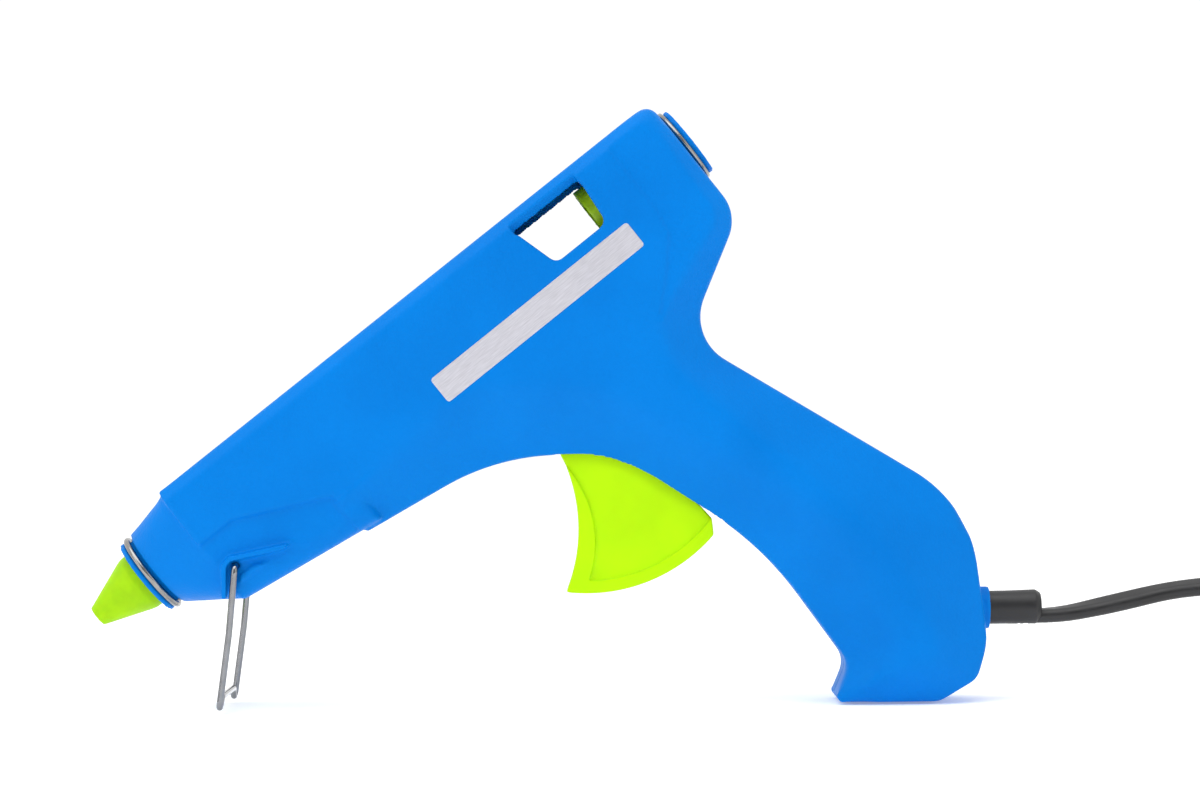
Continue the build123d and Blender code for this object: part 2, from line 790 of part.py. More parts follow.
with BuildPart() as nozzle_cover:
    add(turned([
        (0.0, orifice_radius + 0.65),
        (0.0, 2.35),
        (10.9, cover_radius - 0.3),
        (12.0, cover_radius),
        (16.0, cover_radius),
        (16.0, nozzle_radius + 0.05),
        (11.02, nozzle_radius + 0.05),
        (nozzle_start + 0.05, orifice_radius + 0.65),
    ]))
nozzle_cover.part.label = "nozzle_cover"
export_step(nozzle_cover.part, "parts/nozzle_cover.step")

with BuildPart() as melt_chamber:
    add(turned([
        (chamber_start, thread_radius),
        (chamber_start, chamber_front_radius),
        (24.5, chamber_front_radius),
        (24.5, chamber_radius),
        (chamber_neck_start, chamber_radius),
        (chamber_neck_start, chamber_neck_radius),
        (chamber_end, chamber_neck_radius),
        (chamber_end, chamber_bore_radius),
        (38.0, chamber_bore_radius - 0.05),
        (29.0, melt_bore_radius),
        (26.1, melt_bore_radius),
        (26.1, thread_radius),
    ]))
    with BuildSketch(across(34)):
        Rectangle(12, -pad_bottom, align=(Align.CENTER, Align.MAX))
        Circle(chamber_radius - 1.6, mode=Mode.SUBTRACT)
    extrude(amount=34)
melt_chamber.part.label = "melt_chamber"
export_step(melt_chamber.part, "parts/melt_chamber.step")

film_top = pad_bottom - 0.02
electrode_top = film_top - film_thickness
ptc_top = electrode_top - electrode_thickness
lower_electrode_top = ptc_top - ptc_thickness
lower_film_top = lower_electrode_top - electrode_thickness
clip_top = lower_film_top - film_thickness


def layer(start, length, width, top, thickness):
    """A flat strip under the chamber pad."""
    with BuildPart() as strip:
        with BuildSketch(across(start)):
            with Locations((0, top)):
                Rectangle(width, thickness, align=(Align.CENTER, Align.MAX))
        extrude(amount=length)
    return strip.part


with BuildPart() as ptc_heater:
    add(layer(39, 24, 10, ptc_top, ptc_thickness))
ptc_heater.part.label = "ptc_heater"
export_step(ptc_heater.part, "parts/ptc_heater.step")

with BuildPart() as heater_electrodes:
    add(layer(38, 32, 9, electrode_top, electrode_thickness))
    add(layer(38, 32, 9, lower_electrode_top, electrode_thickness))
heater_electrodes.part.label = "heater_electrodes"
export_step(heater_electrodes.part, "parts/heater_electrodes.step")

with BuildPart() as heater_film:
    add(layer(36, 30, 13, film_top, film_thickness))
    add(layer(36, 30, 13, lower_film_top, film_thickness))
heater_film.part.label = "heater_film"
export_step(heater_film.part, "parts/heater_film.step")

with BuildPart() as heater_clip:
    with BuildSketch(across(clip_start)):
        with BuildLine():
            middle = clip_half_width - clip_thickness / 2
            Polyline(
                (-middle + 1.1, 3.6),
                (-middle, 4.4),
                (-middle, clip_top - clip_thickness / 2 - 0.02),
                (middle, clip_top - clip_thickness / 2 - 0.02),
                (middle, 4.4),
                (middle - 1.1, 3.6),
            )
            offset(amount=clip_thickness / 2, side=Side.BOTH)
        make_face()
    extrude(amount=clip_length)
heater_clip.part.label = "heater_clip"
export_step(heater_clip.part, "parts/heater_clip.step")

sleeve_start = chamber_neck_start + 0.1
sleeve_end = 94.0
sleeve_radius = chamber_neck_radius + 1.7
sleeve_clamp_u = 83.4
sleeve_clamp_wire = 1.0

with BuildPart() as inlet_sleeve:
    add(turned([
        (sleeve_start, chamber_neck_radius + 0.03),
        (sleeve_start, sleeve_radius),
        (sleeve_end - 1, sleeve_radius),
        (sleeve_end, sleeve_radius - 1),
        (sleeve_end, stick_bore_radius),
        (chamber_end + 0.1, stick_bore_radius),
        (chamber_end + 0.1, chamber_neck_radius + 0.03),
    ]))
inlet_sleeve.part.label = "inlet_sleeve"
export_step(inlet_sleeve.part, "parts/inlet_sleeve.step")

with BuildPart() as sleeve_clamp:
    add(split_ring(sleeve_clamp_u, sleeve_radius, sleeve_clamp_wire, 14))
sleeve_clamp.part.label = "sleeve_clamp"
export_step(sleeve_clamp.part, "parts/sleeve_clamp.step")

# ---------------------------------------------------------------- stick feed
carriage_front = 105.4
carriage_rear = 125.6
tongue_thickness = rail_gap - 0.2
tongue_reach = inner_half_width - 0.25
lug_half_width = 4.5
grip_start = 108.0
grip_length = 4.6
grip_half_width = 2.5

with BuildPart() as feed_carriage:
    with BuildSketch(across(carriage_front)):
        Circle(carriage_radius)
    extrude(amount=carriage_rear - carriage_front)
    with BuildSketch(across(carriage_front + 1.5)):
        Rectangle(2 * tongue_reach, tongue_thickness)
    extrude(amount=carriage_rear - carriage_front - 3)
    with BuildSketch(across(pin_u - 4)):
        with Locations((0, pin_level - drive_pin_diameter / 2 - 1.0)):
            Rectangle(2 * lug_half_width, 9, align=(Align.CENTER, Align.MIN))
    extrude(amount=8)
    with BuildSketch(across(carriage_front - 1)):
        Circle(stick_bore_radius)
    extrude(amount=carriage_rear - carriage_front + 2, mode=Mode.SUBTRACT)
    with BuildSketch(BARREL.offset(-half_width)):
        with Locations((pin_u, pin_level)):
            Circle(drive_pin_diameter / 2)
    extrude(amount=2 * half_width, mode=Mode.SUBTRACT)
    with BuildSketch(across(grip_start)):
        with Locations((0, -stick_bore_radius + 1)):
            Rectangle(2 * grip_half_width, 2.1, align=(Align.CENTER, Align.MAX))
    extrude(amount=grip_length, mode=Mode.SUBTRACT)
feed_carriage.part.label = "feed_carriage"
export_step(feed_carriage.part, "parts/feed_carriage.step")

with BuildPart() as grip_plate:
    with BuildSketch(BARREL.offset(-grip_half_width)):
        with BuildLine():
            floor_v = -stick_bore_radius - 1.1
            teeth = 4
            pitch = grip_length / teeth
            outline = [(grip_start + grip_length, floor_v), (grip_start, floor_v)]
            for tooth in range(teeth):
                outline.append((grip_start + tooth * pitch, floor_v + 0.6))
                outline.append((grip_start + (tooth + 0.15) * pitch, floor_v + 1.3))
            outline.append((grip_start + grip_length, floor_v + 0.6))
            Polyline(*outline, close=True)
        make_face()
    extrude(amount=2 * grip_half_width)
grip_plate.part.label = "grip_plate"
export_step(grip_plate.part, "parts/grip_plate.step")

arm_inner = 5.0             # |Y| of the trigger arms' inner and outer faces
arm_outer = 7.3
arm_root_radius = 5.4
arm_tip_radius = 3.4
spring_pocket_half_width = 2.5
spring_pocket_radius = 7.6

with BuildPart() as drive_pin:
    with BuildSketch(BARREL.offset(-arm_outer)):
        with Locations((pin_u, pin_level)):
            Circle(drive_pin_diameter / 2)
    extrude(amount=2 * arm_outer)
drive_pin.part.label = "drive_pin"
export_step(drive_pin.part, "parts/drive_pin.step")

guide_start = window_rear - 2.2
guide_end = rear_flange_end - 0.2

with BuildPart() as inlet_guide:
    add(turned([
        (guide_start, stick_bore_radius + 0.9),
        (guide_start, guide_radius),
        (guide_flange[0], guide_radius),
        (guide_flange[0], guide_flange_radius),
        (guide_flange[1], guide_flange_radius),
        (guide_flange[1], guide_radius),
        (guide_end, guide_radius),
        (guide_end, stick_bore_radius + 0.7),
        (guide_end - 0.7, stick_bore_radius),
        (guide_start + 1.2, stick_bore_radius),
    ]))
inlet_guide.part.label = "inlet_guide"
export_step(inlet_guide.part, "parts/inlet_guide.step")

# ---------------------------------------------------------------- trigger
slot_near = lever_height
slot_far = lever_height / math.cos(half_swing)
slot_middle = (slot_near + slot_far) / 2
slot_width = drive_pin_diameter + 0.24
slot_play = 0.3
arm_angle = barrel_tilt + 90 - trigger_travel / 2
rim_start = -97.6           # directions of the rim's ends, seen from the pivot
rim_end = -41.1


def about_pivot(radius, degrees):
    """Point of the side plane at a distance and direction from the trigger pivot."""
    angle = math.radians(degrees)
    return (pivot_x + radius * math.cos(angle), pivot_z + radius * math.sin(angle))


rim_front = about_pivot(trigger_radius, rim_start)
rim_middle = about_pivot(trigger_radius, (rim_start + rim_end) / 2)
rim_rear = about_pivot(trigger_radius, rim_end)
back_corner = about_pivot(trigger_radius - 2.6, -37.0)
finger_top = (-71.3, 53.4)
finger_middle = (-68.7, 40.6)
plate_middle = (-65.3, 40.8)        # rear edge of the finger plate, halfway down
plate_rear = about_pivot(trigger_radius - 0.2, -91.5)


def trigger_outline():
    """Side view of the trigger below and around its pivot."""
    with BuildLine() as outline:
        ThreePointArc(finger_top, finger_middle, rim_front)
        ThreePointArc(rim_front, rim_middle, rim_rear)
        Polyline(rim_rear, back_corner, (-61.5, 66.5), (-70.6, 66.0), (-73.0, 58.0), (-72.4, 55.6), finger_top)
    return outline.line


with BuildPart() as trigger:
    web_half_width = trigger_half_width - trigger_side_relief
    with BuildSketch(SIDE.offset(-web_half_width)):
        with BuildLine():
            add(trigger_outline())
        make_face()
    extrude(amount=2 * web_half_width)
    # bottom rim and finger face, over the full width
    with BuildSketch(SIDE.offset(-trigger_half_width)):
        with BuildLine():
            add(trigger_outline())
        make_face()
        with Locations((pivot_x, pivot_z)):
            Circle(trigger_radius - trigger_rim, mode=Mode.SUBTRACT)
        with BuildLine():
            ThreePointArc(finger_top, finger_middle, rim_front)
            ThreePointArc(finger_top, plate_middle, plate_rear)
            Line(plate_rear, rim_front)
        make_face()
    extrude(amount=2 * trigger_half_width)
    # the two arms that reach up to the drive pin
    for start in (-arm_outer, arm_inner):
        with BuildSketch(SIDE.offset(start)):
            with Locations((pivot_x, pivot_z)):
                Circle(arm_root_radius)
            with Locations(about_pivot(slot_middle, arm_angle)):
                Circle(arm_tip_radius)
            make_hull()
            with Locations(Location(about_pivot(slot_middle, arm_angle), arm_angle)):
                SlotCenterToCenter(slot_far - slot_near + 2 * slot_play, slot_width, mode=Mode.SUBTRACT)
        extrude(amount=arm_outer - arm_inner)
    with BuildSketch(SIDE.offset(-trigger_half_width)):
        with Locations((pivot_x, pivot_z)):
            Circle(pivot_pin_diameter / 2 + pin_clearance)
    extrude(amount=2 * trigger_half_width, mode=Mode.SUBTRACT)
    # pocket for the return spring, and room between the arms
    with BuildSketch(SIDE.offset(-spring_pocket_half_width)):
        with Locations((pivot_x, pivot_z)):
            Circle(spring_pocket_radius)
    extrude(amount=2 * spring_pocket_half_width, mode=Mode.SUBTRACT)
trigger.part.label = "trigger"
export_step(trigger.part, "parts/trigger.step")

with BuildPart() as trigger_pin:
    with BuildSketch(SIDE.offset(-pivot_pin_half_length)):
        with Locations((pivot_x, pivot_z)):
            Circle(pivot_pin_diameter / 2)
    extrude(amount=2 * pivot_pin_half_length)
trigger_pin.part.label = "trigger_pin"
export_step(trigger_pin.part, "parts/trigger_pin.step")

spring_wire = 0.8
spring_radius = pivot_pin_diameter / 2 + 1.0
spring_turns = 4.25
spring_pitch = spring_wire + 0.1
spring_width = spring_turns * spring_pitch
spring_start = 2.0          # Y of the first coil
spring_leg = 6.2            # length of the leg that bears on the trigger

with BuildPart() as spring_coil:
    with BuildLine():
        Helix(pitch=spring_pitch, height=spring_width, radius=spring_radius)
    with BuildSketch(Plane(origin=(spring_radius, 0, 0), x_dir=(1, 0, 0), z_dir=(0, 1, 0))):
        Circle(spring_wire / 2)
    sweep(is_frenet=True)

with BuildPart() as trigger_spring:
    spring_frame = Plane(origin=(pivot_x, spring_start, pivot_z), x_dir=(1, 0, 0), z_dir=(0, -1, 0))
    add(spring_coil.part.moved(spring_frame.location))
    with BuildSketch(Plane.YZ.offset(spring_post[0] - 3)):
        with Locations((spring_start - spring_width, pivot_z + spring_radius)):
            Circle(spring_wire / 2)
    extrude(amount=pivot_x - spring_post[0] + 3)
    with BuildSketch(Plane.XY.offset(pivot_z - spring_leg)):
        with Locations((pivot_x + spring_radius, spring_start)):
            Circle(spring_wire / 2)
    extrude(amount=spring_leg)
trigger_spring.part.label = "trigger_spring"
export_step(trigger_spring.part, "parts/trigger_spring.step")

# ---------------------------------------------------------------- wire stand
foot_x = -148.4
foot_z = -0.42              # corner of the foot, whose bend just reaches the floor
stand_side = [
    (stand_pivot_x, -inner_half_width + 1.6, stand_pivot_z),
    (stand_pivot_x, -stand_half_span, stand_pivot_z),
    (-145.9, -stand_half_span, 17.2),
    (foot_x, -stand_half_span, foot_z),
    (foot_x + 0.35, -stand_half_span + 4.2, foot_z + 3.6),
]
stand_points = stand_side + [(x, -y, z) for x, y, z in reversed(stand_side)]

with BuildPart() as wire_stand:
    with BuildLine() as stand_path:
        FilletPolyline(*stand_points, radius=[1.5, 12.0, 1.3, 2.5, 2.5, 1.3, 12.0, 1.5])
    with BuildSketch(Plane(origin=stand_points[0], z_dir=(0, -1, 0))):
        Circle(stand_wire / 2)
    sweep(path=stand_path.wires()[0])
wire_stand.part.label = "wire_stand"
export_step(wire_stand.part, "parts/wire_stand.step")

# ---------------------------------------------------------------- strain relief, clamp and leads
with BuildPart() as strain_relief:
    with BuildSketch(Plane.XZ):
        with BuildLine():
            Polyline(
                (boot_flange[0], boot_z),
                (boot_flange[0], boot_z + boot_flange_radius),
                (boot_flange[1], boot_z + boot_flange_radius),
                (boot_flange[1], boot_z + boot_diameter / 2),
                (boot_end_x - 8, boot_z + boot_diameter / 2),
                (boot_end_x - 1.2, boot_z + boot_diameter / 2 + 0.2),
                (boot_end_x, boot_z + boot_diameter / 2 - 0.6),
                (boot_end_x, boot_z),
                close=True,
            )
        make_face()
    revolve(axis=Axis(origin=(0, 0, boot_z), direction=(1, 0, 0)))
    add(cord.part, mode=Mode.SUBTRACT)
strain_relief.part.label = "strain_relief"
export_step(strain_relief.part, "parts/strain_relief.step")

with BuildPart() as cord_clamp:
    with BuildSketch(SIDE.offset(-cord_diameter / 2)):
        with Locations((clamp_x, cord_z_inside)):
            RectangleRounded(clamp_length - 0.6, clamp_height - 0.6, 1.0)
            with GridLocations(1, 2 * clamp_screw_offset, 1, 2):
                Circle(clamp_screw_radius + 0.15, mode=Mode.SUBTRACT)
    extrude(amount=-1.8)
cord_clamp.part.label = "cord_clamp"
export_step(cord_clamp.part, "parts/cord_clamp.step")

with BuildPart() as clamp_screws:
    with BuildSketch(SIDE.offset(-cord_diameter / 2 - 1.8)):
        with Locations((clamp_x, cord_z_inside)):
            with GridLocations(1, 2 * clamp_screw_offset, 1, 2):
                Circle(clamp_screw_radius)
    extrude(amount=cord_diameter + 1.8 + 5)
    with BuildSketch(SIDE.offset(-cord_diameter / 2 - 1.8)):
        with Locations((clamp_x, cord_z_inside)):
            with GridLocations(1, 2 * clamp_screw_offset, 1, 2):
                Circle(2.2)
    extrude(amount=-1.6)
clamp_screws.part.label = "clamp_screws"
export_step(clamp_screws.part, "parts/clamp_screws.step")

lead_radius = 0.8
lead_route = [
    (5.0, 0.95, 19.55),
    (-1.0, 3.5, 22.5),
    (-7.0, 8.0, 29.0),
    (-14.0, 9.6, 38.0),
    (-24.0, 9.8, 47.0),
    (-38.0, 9.9, 57.0),
    (-56.0, 9.9, 72.0),
    (at(104, -16)[0], 9.8, at(104, -16)[1]),
    (at(86, -12.8)[0], 8.0, at(86, -12.8)[1]),
    (at(71, -10.8)[0], 2.0, at(71, -10.8)[1]),
]
with BuildPart() as one_lead:
    with BuildLine() as lead_path:
        FilletPolyline(*lead_route, radius=corner_radii(lead_route))
    with BuildSketch(Plane(origin=lead_path.line @ 0, z_dir=lead_path.line % 0)):
        Circle(lead_radius)
    sweep(path=lead_path.line)

with BuildPart() as lead_wires:
    add(one_lead.part)
    add(mirror(one_lead.part, about=Plane.XZ))
lead_wires.part.label = "lead_wires"
export_step(lead_wires.part, "parts/lead_wires.step")
print("carriage travel", round(carriage_travel, 3), "mm per rad",
      round(carriage_travel / math.radians(trigger_travel), 3))
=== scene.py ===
"""Looks of the corded glue gun: cord, materials, moulded shapes, floor, light and camera."""

import json
import math

import bmesh
import bpy
import numpy as np
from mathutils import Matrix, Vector
from mathutils.kdtree import KDTree


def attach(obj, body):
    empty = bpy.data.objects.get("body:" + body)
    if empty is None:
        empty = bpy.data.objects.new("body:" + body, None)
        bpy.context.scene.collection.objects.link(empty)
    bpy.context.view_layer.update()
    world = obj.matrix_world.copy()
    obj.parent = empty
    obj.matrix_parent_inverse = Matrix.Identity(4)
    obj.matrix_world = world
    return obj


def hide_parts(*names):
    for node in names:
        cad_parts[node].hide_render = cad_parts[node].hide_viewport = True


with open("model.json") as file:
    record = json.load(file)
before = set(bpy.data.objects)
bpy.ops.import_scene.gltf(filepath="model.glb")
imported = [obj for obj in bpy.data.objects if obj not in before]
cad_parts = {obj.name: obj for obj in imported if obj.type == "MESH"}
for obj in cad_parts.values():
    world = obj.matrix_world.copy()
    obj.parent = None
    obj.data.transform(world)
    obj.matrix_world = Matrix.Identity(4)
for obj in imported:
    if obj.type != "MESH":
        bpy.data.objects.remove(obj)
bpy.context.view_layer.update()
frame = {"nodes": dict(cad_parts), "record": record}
nodes = frame["nodes"]
MM = 0.001


def mm(*values):
    """A point given in millimetres, in metres."""
    return Vector(values) * MM


def link(piece):
    bpy.context.scene.collection.objects.link(piece)
    return piece


# ---------------------------------------------------------------- camera
CAMERA_PLACE = mm(-63.5, -765, 67.9)
CAMERA_ROLL = math.radians(0.7)
LENS = 102                  # millimetres, on the usual 36 mm sensor

camera = link(bpy.data.objects.new("camera", bpy.data.cameras.new("camera")))
camera.data.lens = LENS
camera.location = CAMERA_PLACE
camera.rotation_euler = (math.radians(90), CAMERA_ROLL, 0)
bpy.context.scene.camera = camera

# ---------------------------------------------------------------- cord
CORD_WIDTH = 5.2            # flat twin cord, in millimetres
CORD_HEIGHT = 3.4
HANK_X = (104.2, 149.2)     # middles of the hank's two folds
HANK_Y = 5.0
HANK_RADII = (17.0, 20.5)   # inner and outer turn
HANK_LAYER = 5.22           # rise from one layer to the next
HANK_LOWEST = 3.05          # height of the lowest layer's middle
HANK_LAPS = 5.28
PLACE_CHANGE = 0.25         # part of a lap over which the cord moves to its next place
PLACE_LEAD = 0.14           # how much earlier each change comes than the one before

# Route from inside the handle to the top of the hank, and from the hank to the plug.
ROUTE = [
    (5.0, 0, 19.55),
    (20.0, 0, 19.25),
    (36.5, 0, 17.7),
    (51.0, 0, 20.6),
    (67.0, -0.8, 24.3),
    (83.0, -4.6, 24.8),
    (98.0, -9.2, 20.2),
    (112.0, -12.0, 14.4),
]
TAIL = [
    (172.0, -2.4, 3.4),
    (183.0, 2.8, 5.4),
    (193.0, 4.0, 6.85),
]
# Twist of the flat cord at each point, in degrees. On the hank it stands on its edge, at 90.
ROUTE_TWIST = (0, 0, 0, 32, 18, 40, 70, 90)
TAIL_TWIST = (60, 15, 0)


def lap_stations():
    """Points of one lap of the hank, as the middle that each swings about and its direction in degrees."""
    near, far = HANK_X
    straight = (0.12, 0.5, 0.88)
    fold = (-75, -45, -15, 15, 45, 75)
    stations = [(near + (far - near) * share, -90) for share in straight]
    stations += [(far, angle) for angle in fold]
    stations += [(far + (near - far) * share, 90) for share in straight]
    stations += [(near, angle + 180) for angle in fold]
    return stations


def hank_points():
    """Turns of the hank from the top down, each change of place earlier than the one before."""
    inner, outer = HANK_RADII
    radii = (inner, outer, outer, inner, inner, outer)
    layers = (2, 2, 1, 1, 0, 0)
    stations = lap_stations()
    count = len(stations)
    points = []
    for step in range(1, int(HANK_LAPS * count)):
        lap = step / count
        radius, layer = radii[0], layers[0]
        for number in range(1, 6):
            start = number - PLACE_CHANGE - PLACE_LEAD * (number - 1)
            share = min(max((lap - start) / PLACE_CHANGE, 0), 1)
            share = share * share * (3 - 2 * share)
            radius += (radii[number] - radii[number - 1]) * share
            layer += (layers[number] - layers[number - 1]) * share
        middle, angle = stations[step % count]
        if angle not in (-90, 90):
            radius /= math.cos(math.radians(15))
        across, along = math.cos(math.radians(angle)), math.sin(math.radians(angle))
        points.append((middle + radius * across, HANK_Y + radius * along, HANK_LOWEST + HANK_LAYER * layer))
    return points


def curve_data(name, points):
    """A NURBS line through the row frame, its control points given in millimetres."""
    data = bpy.data.curves.new(name, "CURVE")
    data.dimensions = "3D"
    spline = data.splines.new("NURBS")
    spline.points.add(len(points) - 1)
    for point, place in zip(spline.points, points):
        point.co = (*mm(*place), 1)
    spline.order_u = 3
    spline.use_endpoint_u = True
    return data


def cord_profile():
    """Section of a flat twin cord: two lobes side by side, slightly waisted.

    Its unit is half the cord's width, which is also the radius of the line's points."""
    data = bpy.data.curves.new("cord_section", "CURVE")
    data.dimensions = "2D"
    spline = data.splines.new("POLY")
    count = 28
    half_width, half_height = CORD_WIDTH / 2, CORD_HEIGHT / 2
    outline = []
    for step in range(count):
        angle = 2 * math.pi * step / count
        across, up = math.cos(angle), math.sin(angle)
        waist = 1 - 0.10 * math.exp(-((across * half_width) ** 2) / 0.5)
        lobe = abs(across) ** 0.72 * math.copysign(1, across)
        outline.append((half_width * lobe, half_height * up * waist))
    spline.points.add(count - 1)
    for point, (across, up) in zip(spline.points, outline):
        point.co = (across / half_width, up / half_width, 0, 1)
    spline.use_cyclic_u = True
    section = link(bpy.data.objects.new("cord_section", data))
    section.hide_render = True
    section.hide_viewport = True
    return section


turns = hank_points()
cord_points = ROUTE + turns + TAIL
cord_line = curve_data("flex", cord_points)
cord_line.twist_mode = "Z_UP"
cord_line.resolution_u = 6
cord_line.bevel_mode = "OBJECT"
cord_line.bevel_object = cord_profile()
cord_line.use_fill_caps = True
twists = list(ROUTE_TWIST) + [90] * len(turns) + list(TAIL_TWIST)
for point, twist in zip(cord_line.splines[0].points, twists):
    point.tilt = math.radians(twist)
    point.radius = CORD_WIDTH / 2 * MM
flex = link(bpy.data.objects.new("flex", cord_line))
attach(flex, "housing")
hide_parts("cord", "cord_hank", "cord_tail")


def strap(name, x, y, z, width, thickness):
    """A flat band in the plane X = x, round a bundle that spans y and z, with rounded corners."""
    shape = bmesh.new()
    middle_y, middle_z = (y[0] + y[1]) / 2, (z[0] + z[1]) / 2
    reach_y, reach_z = (y[1] - y[0]) / 2, (z[1] - z[0]) / 2
    count = 64
    rings = []
    for across, grown in ((-1, 0), (1, 0), (1, thickness), (-1, thickness)):
        ring = []
        for step in range(count):
            angle = 2 * math.pi * step / count
            swing, rise = math.cos(angle), math.sin(angle)
            place_y = middle_y + (reach_y + grown) * abs(swing) ** 0.35 * math.copysign(1, swing)
            place_z = middle_z + (reach_z + grown) * abs(rise) ** 0.35 * math.copysign(1, rise)
            ring.append(shape.verts.new(mm(x + across * width / 2, place_y, place_z)))
        rings.append(ring)
    for ring, following in zip(rings, rings[1:] + rings[:1]):
        for number in range(count):
            after = (number + 1) % count
            shape.faces.new((ring[number], ring[after], following[after], following[number]))
    mesh = bpy.data.meshes.new(name)
    bmesh.ops.recalc_face_normals(shape, faces=shape.faces)
    shape.to_mesh(mesh)
    shape.free()
    return link(bpy.data.objects.new(name, mesh))


bundle_y = (HANK_Y + HANK_RADII[0] - CORD_HEIGHT / 2 - 0.15, HANK_Y + HANK_RADII[1] + CORD_HEIGHT / 2 + 0.1)
bundle_z = (HANK_LOWEST - CORD_WIDTH / 2 - 0.05, HANK_LOWEST + 2 * HANK_LAYER + CORD_WIDTH / 2 + 0.1)
tie = strap("cord_tie", sum(HANK_X) / 2, bundle_y, bundle_z, 8.0, 0.35)
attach(tie, "housing")

# ---------------------------------------------------------------- materials
def linear(colour):
    """Scene-linear value of an sRGB colour given as 0 to 255."""
    shares = [value / 255 for value in colour]
    return [share / 12.92 if share <= 0.04045 else ((share + 0.055) / 1.055) ** 2.4 for share in shares]


def new_material(name, colour, roughness, metallic=0.0, **values):
    """A Principled material. Constant values are set straight on the shader's sockets."""
    material = bpy.data.materials.new(name)
    material.use_nodes = True
    shader = material.node_tree.nodes["Principled BSDF"]
    shader.inputs["Base Color"].default_value = (*linear(colour), 1)
    shader.inputs["Roughness"].default_value = roughness
    shader.inputs["Metallic"].default_value = metallic
    for key, value in values.items():
        shader.inputs[key.replace("_", " ")].default_value = value
    return material


def add_node(material, kind, **inputs):
    node = material.node_tree.nodes.new(kind)
    for key, value in inputs.items():
        socket = node.inputs[key.replace("_", " ")]
        if isinstance(value, bpy.types.NodeSocket):
            material.node_tree.links.new(value, socket)
        else:
            socket.default_value = value
    return node


def place_socket(material):
    """Coordinates of the piece in metres, which stay with it when it moves."""
    return add_node(material, "ShaderNodeTexCoord").outputs["Object"]


def noise(material, size, detail=2.0):
    """Noise with features about size millimetres across, from 0 to 1."""
    texture = add_node(material, "ShaderNodeTexNoise", Vector=place_socket(material), Scale=1 / (size * MM),
                       Detail=detail)
    return texture.outputs["Fac"]


def mottle(material, size, first, second):
    """Base colour that wanders between two colours over patches of the given size."""
    ramp = add_node(material, "ShaderNodeValToRGB", Fac=noise(material, size, 3.0))
    ramp.color_ramp.elements[0].position = 0.35
    ramp.color_ramp.elements[1].position = 0.65
    ramp.color_ramp.elements[0].color = (*linear(first), 1)
    ramp.color_ramp.elements[1].color = (*linear(second), 1)
    shader = material.node_tree.nodes["Principled BSDF"]
    material.node_tree.links.new(ramp.outputs["Color"], shader.inputs["Base Color"])


def vary_roughness(material, size, low, high):
    """Roughness that wanders between two values over patches of the given size."""
    spread = add_node(material, "ShaderNodeMapRange", Value=noise(material, size, 3.0))
    spread.inputs["From Min"].default_value = 0.3
    spread.inputs["From Max"].default_value = 0.7
    spread.inputs["To Min"].default_value = low
    spread.inputs["To Max"].default_value = high
    shader = material.node_tree.nodes["Principled BSDF"]
    material.node_tree.links.new(spread.outputs["Result"], shader.inputs["Roughness"])


def relief(material, heights):
    """Bumps laid over each other. Each is (height socket, depth in millimetres, strength)."""
    shader = material.node_tree.nodes["Principled BSDF"]
    normal = None
    for height, depth, strength in heights:
        bump = add_node(material, "ShaderNodeBump", Height=height, Distance=depth * MM, Strength=strength)
        if normal is not None:
            material.node_tree.links.new(normal, bump.inputs["Normal"])
        normal = bump.outputs["Normal"]
    material.node_tree.links.new(normal, shader.inputs["Normal"])


def housing_blue():
    """Spark-eroded ABS: fine pebble grain, soft sheen, faint flow marks."""
    made = new_material("housing_blue", (0, 117, 206), 0.42, Specular_IOR_Level=0.06)
    mottle(made, 26, (0, 114, 202), (0, 120, 210))
    vary_roughness(made, 9, 0.38, 0.48)
    relief(made, [(noise(made, 0.6, 1.5), 0.12, 0.8), (noise(made, 0.24, 1.0), 0.05, 0.5)])
    return made


def trigger_lime():
    """Smooth moulded plastic that lets a little light in."""
    made = new_material("trigger_lime", (180, 233, 0), 0.33, Specular_IOR_Level=0.12, Subsurface_Weight=0.18,
                        Subsurface_Scale=0.0012)
    mottle(made, 14, (176, 229, 0), (184, 237, 0))
    vary_roughness(made, 4, 0.3, 0.4)
    relief(made, [(noise(made, 0.35, 2.0), 0.02, 0.3)])
    return made


def cover_silicone():
    """Soft silicone, a little cloudy."""
    made = new_material("cover_silicone", (165, 220, 2), 0.52, Specular_IOR_Level=0.15,
                        Subsurface_Weight=0.3, Subsurface_Scale=0.0015)
    mottle(made, 5, (146, 198, 0), (160, 212, 2))
    vary_roughness(made, 2.5, 0.46, 0.6)
    relief(made, [(noise(made, 0.5, 3.0), 0.04, 0.35)])
    return made


def steel(name, colour, low, high):
    """Drawn or ground metal with fine marks, of a roughness between low and high."""
    made = new_material(name, colour, (low + high) / 2, metallic=1.0)
    mottle(made, 2.2, [value * 0.93 for value in colour], colour)
    vary_roughness(made, 1.1, low, high)
    relief(made, [(noise(made, 0.25), 0.006, 0.35)])
    return made


